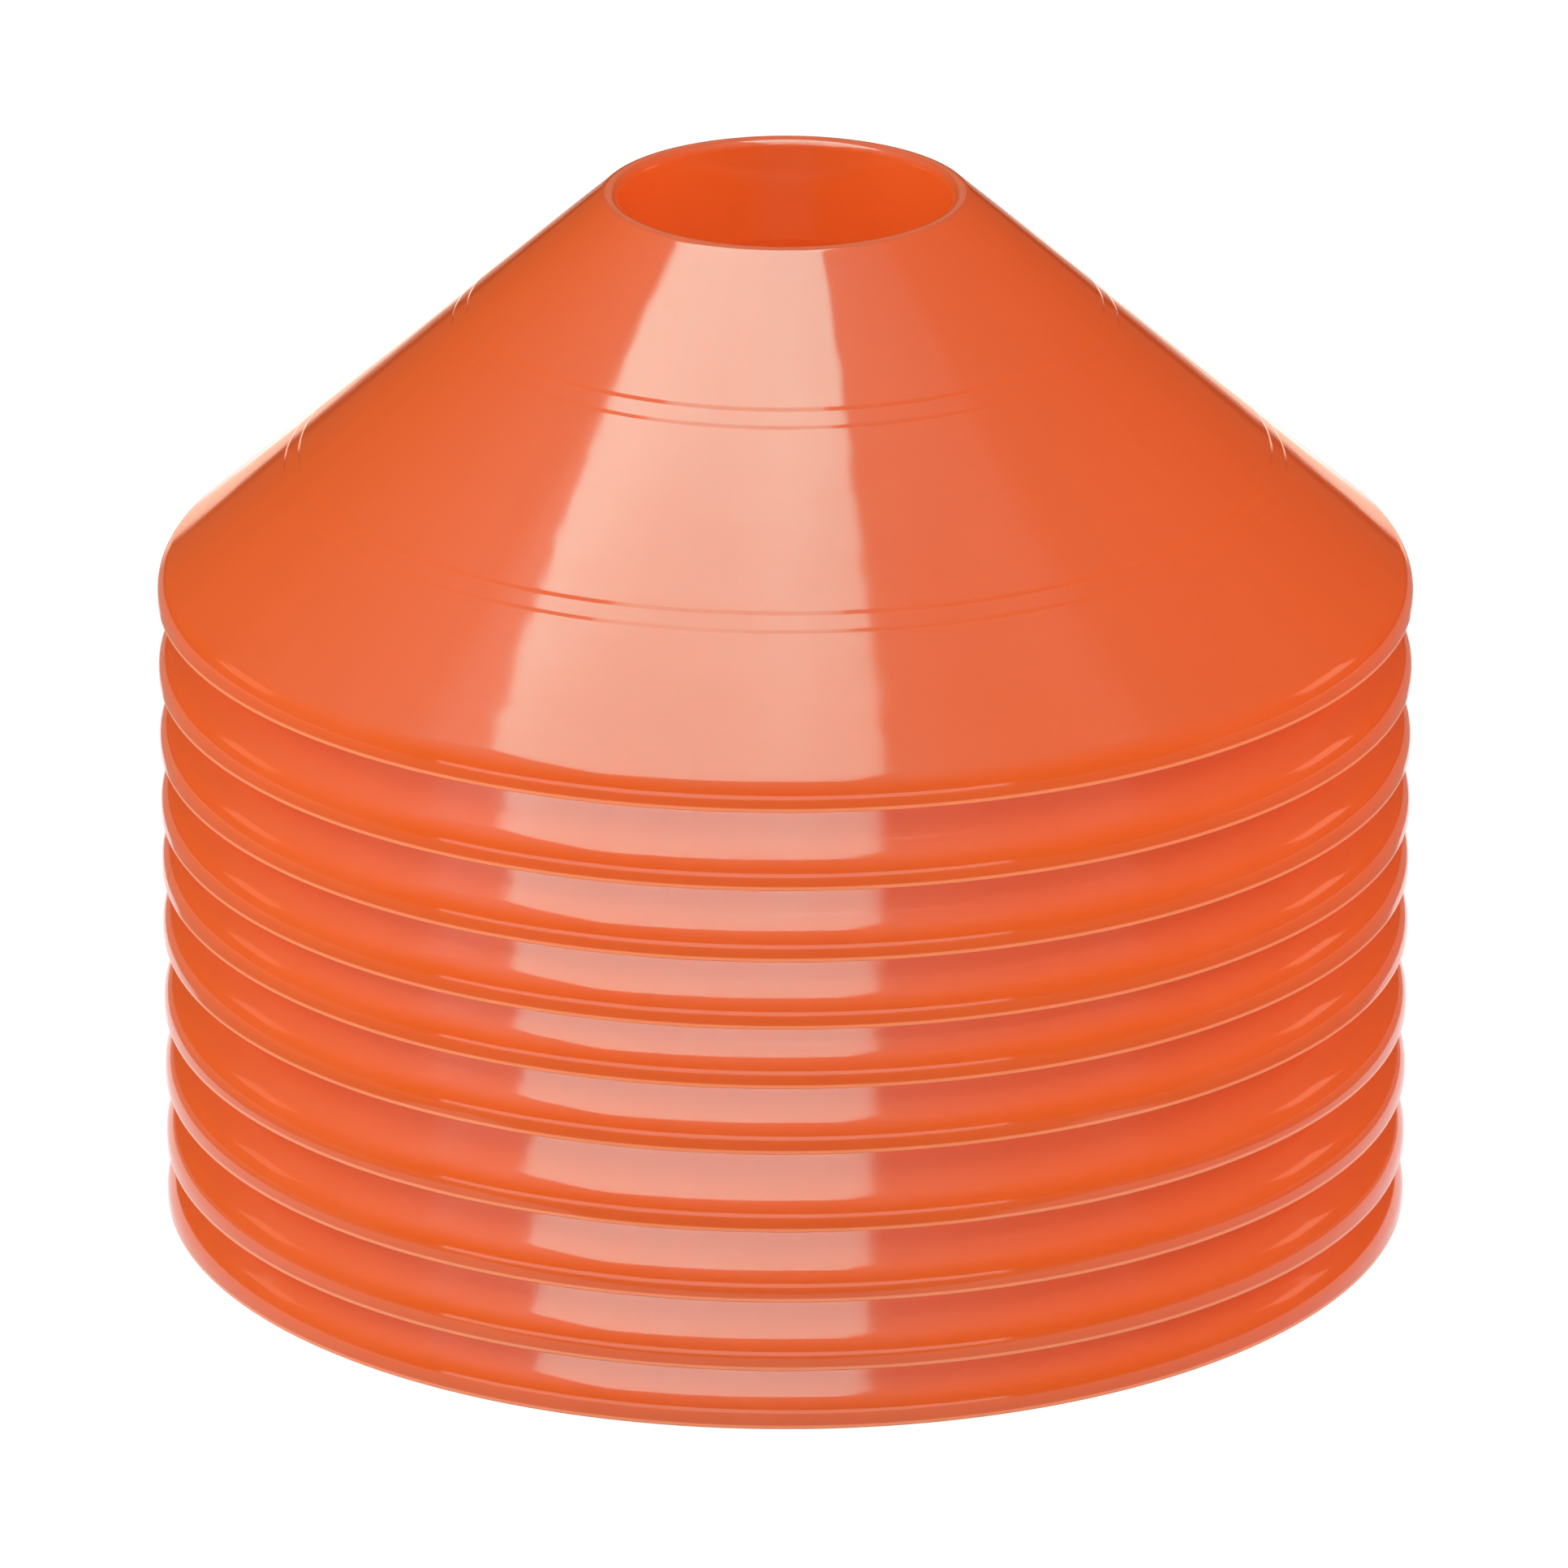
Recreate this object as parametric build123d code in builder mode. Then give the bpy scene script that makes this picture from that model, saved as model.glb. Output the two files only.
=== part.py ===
from build123d import *

import os
from math import asin, atan2, cos, degrees, hypot, radians, sin, tan

# Ten saucer-shaped marker cones for sports fields, nested in one stack. Millimetres, +Z up.
# The origin is the centre of the ring on which the bottom cone stands.

# One cone, a thin sheet of soft plastic moulded in one piece
rim_radius = 95.0        # widest radius, at the skirt
cone_height = 63.4       # from the bottom edge to the crest of the rolled lip
wall = 1.5               # sheet thickness
skirt_height = 1.5       # upright band below the shoulder
shoulder_radius = 4.9    # outside radius between the skirt and the flank
mouth_radius = 24.9      # inside radius of the opening, below the rolled lip
bend_inside = 0.2        # inside radius of the sheet's tight bends
edge_round = 0.3         # rounding of the two corners of the bottom edge

# Shallow steps around the flank, from the top down
step_radii = [47.8, 73.3]    # radius at which each step begins
step_width = 2.2             # radial width of a step's steeper band
step_depth = 0.2             # how far the flank drops back across a step

# The lip rolls over into a tapered neck, which sits in the mouth of the cone below
neck_taper = 12.0        # degrees from the axis
neck_reach = 2.5         # how far the neck still enters the mouth below at the loosest seat
throat_length = 1.5      # straight end of the neck
lead_in = 0.5            # chamfer around the outside of the neck's end
seat_clearance = 0.25    # radial gap between neck and neck at the tightest seat

# How much higher than its tightest seat each cone stands, from the second cone up to the top one
seat_play = [0.1, 1.7, 1.9, 3.1, 1.1, 0.1, 1.3, 1.9, 2.9]

# Seat: the pitch at which the neck's end just clears the neck below
taper = radians(neck_taper)
tightest_pitch = throat_length - lead_in + (wall + seat_clearance) / tan(taper)

# Lip: its crest is an arc whose centre lies inside the sheet's roll
lip_radius = wall + bend_inside
lip_x = mouth_radius + lip_radius
lip_z = cone_height - lip_radius

# Flank: tangent to the lip above and to the shoulder below, set back by the steps between them
shoulder_x = rim_radius - shoulder_radius
run = shoulder_x - lip_x
drop = lip_z - skirt_height
set_back = shoulder_radius - lip_radius + len(step_radii) * step_depth
slope = atan2(drop, run) - asin(set_back / hypot(run, drop))
flank_head = (lip_x + lip_radius * sin(slope), lip_z + lip_radius * cos(slope))
flank_foot = (shoulder_x + shoulder_radius * sin(slope), skirt_height + shoulder_radius * cos(slope))


def flank_point(radius, steps_above):
    """The point of the flank at this radius, below the given number of steps."""
    fall = (radius - flank_head[0]) * tan(slope) + steps_above * step_depth / cos(slope)
    return (radius, flank_head[1] - fall)


step_corners = []
for steps_above, radius in enumerate(step_radii):
    step_corners.append(flank_point(radius, steps_above))
    step_corners.append(flank_point(radius + step_width, steps_above + 1))

# Neck: a straight taper from the lip, then a straight throat
neck_depth = tightest_pitch + max(seat_play) + neck_reach
neck_top = (lip_x - lip_radius * cos(taper), lip_z + lip_radius * sin(taper))
throat_end_z = lip_z - neck_depth
throat_top_z = throat_end_z + throat_length
throat_radius = neck_top[0] - (neck_top[1] - throat_top_z) * tan(taper)

# Height of each cone's bottom edge, from the bottom cone up
base_heights = [0.0]
for play in seat_play:
    base_heights.append(base_heights[-1] + tightest_pitch + play)

os.makedirs("parts", exist_ok=True)
for number, base_height in enumerate(base_heights, start=1):
    name = f"cone_{number:02d}"
    with BuildPart() as cone:
        with BuildSketch(Plane((0, 0, base_height), x_dir=(1, 0, 0), z_dir=(0, -1, 0))) as section:
            with BuildLine():
                Line((rim_radius, 0), (rim_radius, skirt_height))
                CenterArc((shoulder_x, skirt_height), shoulder_radius, 0, 90 - degrees(slope))
                FilletPolyline(flank_foot, *reversed(step_corners), flank_head, radius=lip_radius)
                CenterArc((lip_x, lip_z), lip_radius, 90 - degrees(slope), 90 + degrees(slope) - neck_taper)
                Polyline(neck_top, (throat_radius, throat_top_z), (throat_radius, throat_end_z))
                offset(amount=wall, side=Side.LEFT)
            make_face()
            fillet(section.vertices().group_by(Axis.Y)[0], edge_round)
            neck_corner = (throat_radius + wall, throat_end_z)
            chamfer(section.vertices().sort_by_distance(neck_corner)[0], lead_in)
        revolve(axis=Axis.Z)
    cone.part.label = name
    export_step(cone.part, f"parts/{name}.step")

print(f"flank {degrees(slope):.2f} degrees, throat radius {throat_radius:.3f}, tightest pitch {tightest_pitch:.3f}")
print("bottom edges", [round(height, 3) for height in base_heights], "throat end", round(throat_end_z, 3))
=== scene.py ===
import math

import bmesh
import bpy
from mathutils import Matrix, Vector


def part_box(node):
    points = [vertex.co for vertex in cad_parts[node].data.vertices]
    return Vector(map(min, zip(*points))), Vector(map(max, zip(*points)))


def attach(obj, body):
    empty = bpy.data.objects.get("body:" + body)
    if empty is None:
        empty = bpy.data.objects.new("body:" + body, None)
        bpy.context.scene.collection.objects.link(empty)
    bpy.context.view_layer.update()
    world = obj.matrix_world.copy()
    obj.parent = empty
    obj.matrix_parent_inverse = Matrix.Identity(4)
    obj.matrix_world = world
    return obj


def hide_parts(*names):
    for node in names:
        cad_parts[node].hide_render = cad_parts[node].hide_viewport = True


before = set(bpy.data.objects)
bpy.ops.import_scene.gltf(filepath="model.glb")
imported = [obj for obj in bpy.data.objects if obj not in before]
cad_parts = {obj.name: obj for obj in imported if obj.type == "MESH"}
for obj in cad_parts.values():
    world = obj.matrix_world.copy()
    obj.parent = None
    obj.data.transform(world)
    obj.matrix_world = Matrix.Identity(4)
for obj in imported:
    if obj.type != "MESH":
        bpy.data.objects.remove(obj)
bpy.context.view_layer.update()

# Ten saucer marker cones of glossy orange plastic, nested in one stack. Metres, +Z up.

# One cone: a thin moulded sheet, the same at every height of the stack
lowest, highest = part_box("cone_01")
rim_radius = highest.x
cone_height = highest.z - lowest.z
wall = 0.0015
skirt_height = 0.0015
shoulder_radius = 0.0049
mouth_radius = 0.0249
bend_inside = 0.0002
edge_round = 0.0003
step_radii = [0.0478, 0.0733]
step_width = 0.0022
step_depth = 0.0002
neck_taper = math.radians(12)
throat_radius = 0.022028
throat_length = 0.0015
lead_in = 0.0005

# Each step is two fine ledges, the deeper one above
ledge_shares = [0.6, 0.4]
ledge_width = 0.00035
ledge_round = 0.00008

# Fineness of the mesh
segments = 200
arc_step = math.radians(5)
run_step = 0.008
guard = 0.0003

# Orange plastic
orange_deep = (0.69, 0.096, 0.014, 1)
orange_light = (0.75, 0.109, 0.017, 1)
# Paler orange painted on the bottom edge: a painted highlight along the edge that also stands for wear
orange_highlight_and_wear = (0.95, 0.30, 0.13, 1)
plastic_ior = 1.5
smoothest, dullest = 0.07, 0.11      # roughness, from the faintest flow mark to the strongest
faint_mark, strong_mark = 0.3, 0.7
cloud_scale = 28                     # broad drift of tone
mark_spread = 12                     # flow marks: change around the axis
mark_drift = 22                      # flow marks: slow change along a radius
mark_tone = 0.4                      # share of the flow marks in the tone
highlight_and_wear_share = 0.8                      # how strongly the bottom edge is painted paler: a painted highlight along the edge that also stands for wear
# Heights where the painted edge highlight begins and where it is full
highlight_and_wear_top, highlight_and_wear_full = 0.00075, 0.00055
ripple_scale, ripple_strength, ripple_depth = 90, 0.15, 0.0004
grain_scale, grain_strength, grain_depth = 2200, 0.12, 0.00002

# Floor and paper
floor_half = 4
floor_drop = 0.001
floor_colour = (0.46, 0.36, 0.3, 1)
paper_half = 0.16
paper_front, paper_back = -0.15, 0.65
paper_colour = (0.2, 0.2, 0.2, 1)
paper_white = 0.92
matt_roughness = 0.9
matt_specular = 0.1

# Colours of the light, and how its panels fade
softbox_colour = (0.32, 1, 0.92)
card_colour = (1, 0.72, 0.52)
right_fill_colour = (1, 0.78, 0.82)
room_colour = (1, 0.4, 0.25, 1)
room_strength = 0.25
glow_falloff = -1.35
sideways_share = 0.32                # how much a sideways distance counts in a panel's fade

# Place of the camera
view_distance = 2.0
view_elevation = math.radians(20.81)
view_aim = Vector((-0.0002, 0, 0.06565))
view_lens = 301.6


def straight(start, end):
    """Points inside a straight run: one close to each end, and others evenly between."""
    length = (end - start).length
    if length < 3 * guard:
        return []
    pieces = max(1, round(length / run_step))
    shares = [guard / length]
    shares += [i / pieces for i in range(1, pieces)]
    shares += [1 - guard / length]
    along = (end - start).normalized()
    normal = Vector((along.y, -along.x))
    return [(start.lerp(end, share), normal) for share in shares]


def rounded_path(corners):
    """Points of straight runs joined by arcs, each with its normal to the right of the way along.

    A corner is (distance from the axis, height, radius of the bend).
    """
    spots = [Vector(corner[:2]) for corner in corners]
    begin = spots[0]
    first_along = (spots[1] - begin).normalized()
    path = [(begin, Vector((first_along.y, -first_along.x)))]
    for before, here, after, corner in zip(spots, spots[1:], spots[2:], corners[1:]):
        along = (here - before).normalized()
        onward = (after - here).normalized()
        turn = math.atan2(along.x * onward.y - along.y * onward.x, along.dot(onward))
        side = math.copysign(1, turn)
        bend = corner[2]
        first = here - along * bend * math.tan(abs(turn) / 2)
        right = Vector((along.y, -along.x))
        centre = first - side * bend * right
        path += straight(begin, first)
        count = max(3, math.ceil(abs(turn) / arc_step))
        for i in range(count + 1):
            normal = Matrix.Rotation(turn * i / count, 2) @ right
            path.append((centre + side * bend * normal, normal))
        begin = path[-1][0]
    last_along = (spots[-1] - begin).normalized()
    path += straight(begin, spots[-1])
    path.append((spots[-1], Vector((last_along.y, -last_along.x))))
    return path


def sheet_corners(detailed):
    """The corners of the sheet's outer side, from the bottom edge up over the lip and down the neck."""
    lip_radius = wall + bend_inside
    lip_x = mouth_radius + lip_radius
    lip_z = cone_height - lip_radius
    run = rim_radius - shoulder_radius - lip_x
    drop = lip_z - skirt_height
    set_back = shoulder_radius - lip_radius + len(step_radii) * step_depth
    slope = math.atan2(drop, run) - math.asin(set_back / math.hypot(run, drop))
    head = Vector((lip_x + lip_radius * math.sin(slope), lip_z + lip_radius * math.cos(slope)))
    lip_turn = math.pi / 2 + slope - neck_taper
    uphill = Vector((-math.cos(slope), math.sin(slope)))
    lip_corner = head + lip_radius * math.tan(lip_turn / 2) * uphill

    def flank_corner(radius, steps_above, bend):
        fall = (radius - head.x) * math.tan(slope) + steps_above * step_depth / math.cos(slope)
        return (radius, head.y - fall, bend)

    corners = [(rim_radius - wall / 2, 0, 0)]
    corners.append((rim_radius, 0, edge_round if detailed else 0))
    corners.append(flank_corner(rim_radius, len(step_radii), shoulder_radius))
    for steps_above, radius in reversed(list(enumerate(step_radii))):
        if detailed:
            level = steps_above + 1
            for share, ledge in zip(reversed(ledge_shares), (radius + step_width, radius)):
                corners.append(flank_corner(ledge + ledge_width / 2, level, ledge_round))
                level -= share
                corners.append(flank_corner(ledge - ledge_width / 2, level, ledge_round))
        else:
            corners.append(flank_corner(radius + step_width, steps_above + 1, lip_radius))
            corners.append(flank_corner(radius, steps_above, lip_radius))
    corners.append((lip_corner.x, lip_corner.y, lip_radius))
    throat_top = lip_corner.y - (lip_corner.x - throat_radius) / math.tan(neck_taper)
    corners.append((throat_radius, throat_top, bend_inside))
    corners.append((throat_radius, throat_top - throat_length, 0))
    return corners


def sheet_section():
    """The closed section of one cone, as (distance from the axis, height) all the way round."""
    outer = [point for point, _ in rounded_path(sheet_corners(True))]
    inner = []
    for point, normal in rounded_path(sheet_corners(False)):
        if point.y > edge_round:
            inner.append(point - wall * normal)
    throat_end = outer[-1].y
    inner[-1] = Vector((throat_radius + wall, throat_end + lead_in))
    neck_edge = [Vector((throat_radius + wall - lead_in, throat_end))]
    bottom_edge = []
    for angle in range(180, 271, 30):
        away = Vector((math.cos(math.radians(angle)), math.sin(math.radians(angle))))
        bottom_edge.append(Vector((rim_radius - wall + edge_round, edge_round)) + edge_round * away)
    return outer + neck_edge + inner[::-1] + bottom_edge


def cone_mesh():
    """The section turned about the axis."""
    section = sheet_section()
    mesh = bpy.data.meshes.new("marker_cone")
    shape = bmesh.new()
    rings = []
    for i in range(segments):
        angle = 2 * math.pi * i / segments
        across, along = math.cos(angle), math.sin(angle)
        rings.append([shape.verts.new((x * across, x * along, z)) for x, z in section])
    for ring, following in zip(rings, rings[1:] + rings[:1]):
        for a, b in zip(range(len(section)), list(range(1, len(section))) + [0]):
            face = shape.faces.new((ring[a], following[a], following[b], ring[b]))
            face.smooth = True
    bmesh.ops.recalc_face_normals(shape, faces=shape.faces)
    shape.to_mesh(mesh)
    shape.free()
    return mesh


def feed(tree, socket, value):
    """Gives a socket a plain value or the output of another node."""
    if isinstance(value, bpy.types.NodeSocket):
        tree.links.new(value, socket)
    else:
        socket.default_value = value


def number(tree, operation, *values):
    """A number worked out from others."""
    node = tree.nodes.new("ShaderNodeMath")
    node.operation = operation
    for socket, value in zip(node.inputs, values):
        feed(tree, socket, value)
    return node.outputs["Value"]


def vector(tree, operation, *values):
    """A place, direction or distance worked out from others."""
    node = tree.nodes.new("ShaderNodeVectorMath")
    node.operation = operation
    for socket, value in zip(node.inputs, values):
        feed(tree, socket, value)
    return node.outputs["Value" if operation in ("DISTANCE", "DOT_PRODUCT") else "Vector"]


def between(tree, value, start, end, first, last):
    """A number that goes evenly from first to last while the value goes from start to end."""
    node = tree.nodes.new("ShaderNodeMapRange")
    feed(tree, node.inputs["Value"], value)
    feed(tree, node.inputs["From Min"], start)
    feed(tree, node.inputs["From Max"], end)
    feed(tree, node.inputs["To Min"], first)
    feed(tree, node.inputs["To Max"], last)
    return node.outputs["Result"]


def blend(tree, share, first, second):
    """A colour between two others."""
    node = tree.nodes.new("ShaderNodeMix")
    node.data_type = "RGBA"
    feed(tree, node.inputs["Factor"], share)
    feed(tree, node.inputs["A"], first)
    feed(tree, node.inputs["B"], second)
    return node.outputs["Result"]


def noise(tree, place, scale, detail):
    """Cloudy noise at a place."""
    node = tree.nodes.new("ShaderNodeTexNoise")
    node.inputs["Scale"].default_value = scale
    node.inputs["Detail"].default_value = detail
    tree.links.new(place, node.inputs["Vector"])
    return node.outputs["Fac"]


def bump(tree, height, strength, depth, under=None):
    """A surface that rises and falls with a height, on top of another such surface if one is given."""
    node = tree.nodes.new("ShaderNodeBump")
    node.inputs["Strength"].default_value = strength
    node.inputs["Distance"].default_value = depth
    tree.links.new(height, node.inputs["Height"])
    if under:
        tree.links.new(under, node.inputs["Normal"])
    return node.outputs["Normal"]


def flow_marks(tree, place):
    """Marks that run out from the mouth, so the noise hardly changes along a radius."""
    outward = vector(tree, "NORMALIZE", vector(tree, "MULTIPLY", place, (1, 1, 0)))
    drift = vector(tree, "MULTIPLY", place, (mark_drift, mark_drift, mark_drift))
    spread = (mark_spread, mark_spread, mark_spread)
    return noise(tree, vector(tree, "MULTIPLY_ADD", outward, spread, drift), scale=1, detail=3)


def edge_highlight_and_wear(tree, place, colour):
    """The colour, painted paler at the bottom edge: a painted highlight along the edge that also stands for
    wear.
    """
    height = tree.nodes.new("ShaderNodeSeparateXYZ")
    tree.links.new(place, height.inputs["Vector"])
    low = between(tree, height.outputs["Z"], highlight_and_wear_top, highlight_and_wear_full, 0, 1)
    return blend(tree, number(tree, "MULTIPLY", low, highlight_and_wear_share), colour, orange_highlight_and_wear)


def orange_plastic():
    """Glossy soft plastic: even orange with faint flow marks from the moulding and a soft ripple."""
    material = bpy.data.materials.new("orange_plastic")
    material.use_nodes = True
    tree = material.node_tree
    shader = tree.nodes["Principled BSDF"]
    place = tree.nodes.new("ShaderNodeTexCoord").outputs["Object"]
    marks = flow_marks(tree, place)
    tone = number(tree, "MULTIPLY_ADD", marks, mark_tone, noise(tree, place, cloud_scale, detail=4))
    colour = blend(tree, tone, orange_deep, orange_light)
    ripple = bump(tree, noise(tree, place, ripple_scale, detail=2), ripple_strength, ripple_depth)
    grain = bump(tree, noise(tree, place, grain_scale, detail=2), grain_strength, grain_depth, ripple)
    # The base colour carries a painted highlight along each bottom edge, partly standing for wear
    feed(tree, shader.inputs["Base Color"], edge_highlight_and_wear(tree, place, colour))
    feed(tree, shader.inputs["IOR"], plastic_ior)
    roughness = between(tree, marks, faint_mark, strong_mark, smoothest, dullest)
    feed(tree, shader.inputs["Roughness"], roughness)
    feed(tree, shader.inputs["Normal"], grain)
    return material


def stack_cones():
    """One cone for each node of the frame, at its height."""
    mesh = cone_mesh()
    mesh.materials.append(orange_plastic())
    cones = []
    for node in sorted(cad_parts):
        cone = bpy.data.objects.new(f"marker_{node}", mesh)
        bpy.context.scene.collection.objects.link(cone)
        cone.location.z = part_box(node)[0].z
        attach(cone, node)
        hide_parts(node)
        cones.append(cone)
    return cones


def level_sheet(name, half_width, front, back, drop, colour):
    """A flat matt rectangle on the ground or just under it, as part of the stage."""
    mesh = bpy.data.meshes.new(name)
    near = [(-half_width, front, 0), (half_width, front, 0)]
    far = [(half_width, back, 0), (-half_width, back, 0)]
    mesh.from_pydata(near + far, [], [(0, 1, 2, 3)])
    sheet = bpy.data.objects.new(name, mesh)
    bpy.context.scene.collection.objects.link(sheet)
    sheet.location.z = lowest.z - drop
    material = bpy.data.materials.new(name)
    material.use_nodes = True
    mesh.materials.append(material)
    shader = material.node_tree.nodes["Principled BSDF"]
    shader.inputs["Base Color"].default_value = colour
    shader.inputs["Roughness"].default_value = matt_roughness
    shader.inputs["Specular IOR Level"].default_value = matt_specular
    return material


def pale_floor():
    """A pale floor with a sheet of paper, which is white to the eye and in reflections."""
    level_sheet("floor", floor_half, -floor_half, floor_half, floor_drop, floor_colour)
    tree = level_sheet("paper", paper_half, paper_front, paper_back, 0, paper_colour).node_tree
    ray = tree.nodes.new("ShaderNodeLightPath").outputs
    direct = number(tree, "MAXIMUM", ray["Is Camera Ray"], ray["Is Glossy Ray"])
    seen = number(tree, "MAXIMUM", direct, ray["Is Transmission Ray"])
    shader = tree.nodes["Principled BSDF"]
    shader.inputs["Emission Color"].default_value = (1, 1, 1, 1)
    feed(tree, shader.inputs["Emission Strength"], number(tree, "MULTIPLY", seen, paper_white))


def panel(name, centre, aim, width, depth, radiance):
    """A soft rectangular light of even brightness, aimed at a point."""
    light = bpy.data.lights.new(name, "AREA")
    light.shape = "RECTANGLE"
    light.size = width
    light.size_y = depth
    light.energy = radiance * math.pi * width * depth
    lamp = bpy.data.objects.new(name, light)
    bpy.context.scene.collection.objects.link(lamp)
    lamp.location = centre
    lamp.rotation_euler = (Vector(aim) - Vector(centre)).to_track_quat("-Z", "Y").to_euler()
    lamp.visible_camera = False
    return lamp


def shadowless(lamp, cones):
    """The cones don't block this light from each other."""
    blockers = bpy.data.collections.new(f"{lamp.name}_blockers")
    for cone in cones:
        blockers.objects.link(cone)
    for item in blockers.collection_objects:
        item.light_linking.link_state = "EXCLUDE"
    lamp.light_linking.blocker_collection = blockers


def fade_outwards(tree, near, near_share, far, far_share):
    """A share that falls evenly with the distance from above the stack's axis.

    The upper cones mirror the near part of a panel, so their gloss is brighter.
    """
    place = tree.nodes.new("ShaderNodeNewGeometry").outputs["Position"]
    apart = vector(tree, "ABSOLUTE", place)
    distance = vector(tree, "DOT_PRODUCT", apart, (sideways_share, 1, 0))
    return between(tree, distance, near, far, near_share, far_share)


def softbox_panel():
    """The softbox over the left front, for the broad reflection."""
    lamp = panel("softbox", centre=(-0.134, -0.21, 0.70), aim=(-0.134, -0.21, 0),
                 width=0.525, depth=0.62, radiance=5.7)
    lamp.data.color = softbox_colour
    lamp.data.use_nodes = True
    tree = lamp.data.node_tree
    share = fade_outwards(tree, near=0.165, near_share=1.22, far=0.255, far_share=0.76)
    feed(tree, tree.nodes["Emission"].inputs["Strength"], share)
    return lamp


def glow_panel(centre, diameter, fade, radiance):
    """A wide overhead disc for the gloss, brightest in the middle and fading outwards."""
    light = bpy.data.lights.new("glow", "AREA")
    light.shape = "DISK"
    light.size = diameter
    light.energy = math.pi * math.pi * (diameter / 2) ** 2
    light.use_nodes = True
    tree = light.node_tree
    place = tree.nodes.new("ShaderNodeNewGeometry").outputs["Position"]
    away = number(tree, "DIVIDE", vector(tree, "DISTANCE", place, centre), fade)
    falloff = number(tree, "POWER", number(tree, "MULTIPLY_ADD", away, away, 1), glow_falloff)
    strength = number(tree, "MULTIPLY", falloff, radiance)
    share = fade_outwards(tree, near=0.235, near_share=1.45, far=0.31, far_share=1)
    feed(tree, tree.nodes["Emission"].inputs["Strength"], number(tree, "MULTIPLY", strength, share))
    lamp = bpy.data.objects.new("glow", light)
    bpy.context.scene.collection.objects.link(lamp)
    lamp.location = centre
    lamp.visible_camera = False
    return lamp


def cards():
    """Small warm cards at the back and the sides, for the pale streaks along the slopes."""
    lamps = [panel("back_card", centre=(0, 1.5, 1.2), aim=(0, 0, 0.16),
                   width=0.8, depth=1.5, radiance=0.4)]
    for side, sign, strip_radiance in (("left", -1, 0.9), ("right", 1, 1.5)):
        lamps.append(panel(f"{side}_card", centre=(0.1375 * sign, 0.36, 0.055),
                           aim=(0.07 * sign, 0, 0.12), width=0.135, depth=0.05, radiance=0.85))
        lamps.append(panel(f"{side}_strip", centre=(0.47 * sign, 0.14, 0.23),
                           aim=(0.063 * sign, -0.037, 0.115), width=0.14, depth=0.09,
                           radiance=strip_radiance))
    for lamp in lamps:
        lamp.data.color = card_colour
    return lamps


def fill(name, centre, radiance):
    """A large square panel, aimed at the middle of the stack."""
    return panel(name, centre, aim=(0, 0, 0.1), width=1, depth=1, radiance=radiance)


def studio_light(cones):
    """A softbox, its glow and cards that show in the gloss alone, and even fills that leave no reflection."""
    softbox = softbox_panel()
    glow = glow_panel(centre=(-0.27, -0.216, 1), diameter=12, fade=0.88, radiance=1.8)
    for lamp in [softbox, glow] + cards():
        lamp.visible_diffuse = False

    front = fill("front_fill", (0, -1.2, 0.35), 1.68)
    even = fill("even_fill", (0, -0.72, 1.06), 0.7)
    top = fill("top_fill", (0, -0.72, 1.06), 1.5)
    back = fill("back_fill", (0, 1.2, 0.65), 2.4)
    left = fill("left_fill", (-1.06, 0.15, 0.3), 4.0)
    right = fill("right_fill", (1.06, 0.15, 0.3), 4.0)
    right.data.color = right_fill_colour
    opening = panel("opening_fill", centre=(0, -0.012, 0.16), aim=(0, 0.025, 0.15),
                    width=0.02, depth=0.02, radiance=1.5)
    for lamp in (front, even, top, back, left, right, opening):
        lamp.visible_glossy = False

    for lamp in (softbox, glow, front, even):
        shadowless(lamp, cones)
    panel("front_strip", centre=(-0.15, -0.75, 0.082), aim=(0, 0, 0.082), width=1.8, depth=0.16, radiance=2.4)


def room():
    """A dim, warm, even room. It shows in the gloss and leaves the light to the panels."""
    world = bpy.data.worlds.new("room")
    bpy.context.scene.world = world
    world.use_nodes = True
    world.cycles_visibility.diffuse = False
    background = world.node_tree.nodes["Background"]
    background.inputs["Color"].default_value = room_colour
    background.inputs["Strength"].default_value = room_strength


def camera():
    """Looks at the stack from the front and a little above."""
    view = bpy.data.cameras.new("camera")
    view.lens = view_lens
    view.sensor_width = 36
    view.clip_end = 100
    eye = bpy.data.objects.new("camera", view)
    bpy.context.scene.collection.objects.link(eye)
    back = Vector((0, -math.cos(view_elevation), math.sin(view_elevation)))
    eye.location = view_aim + view_distance * back
    eye.rotation_euler = (-back).to_track_quat("-Z", "Y").to_euler()
    bpy.context.scene.camera = eye


cones = stack_cones()
pale_floor()
studio_light(cones)
room()
camera()
bpy.context.scene.view_settings.view_transform = "Standard"
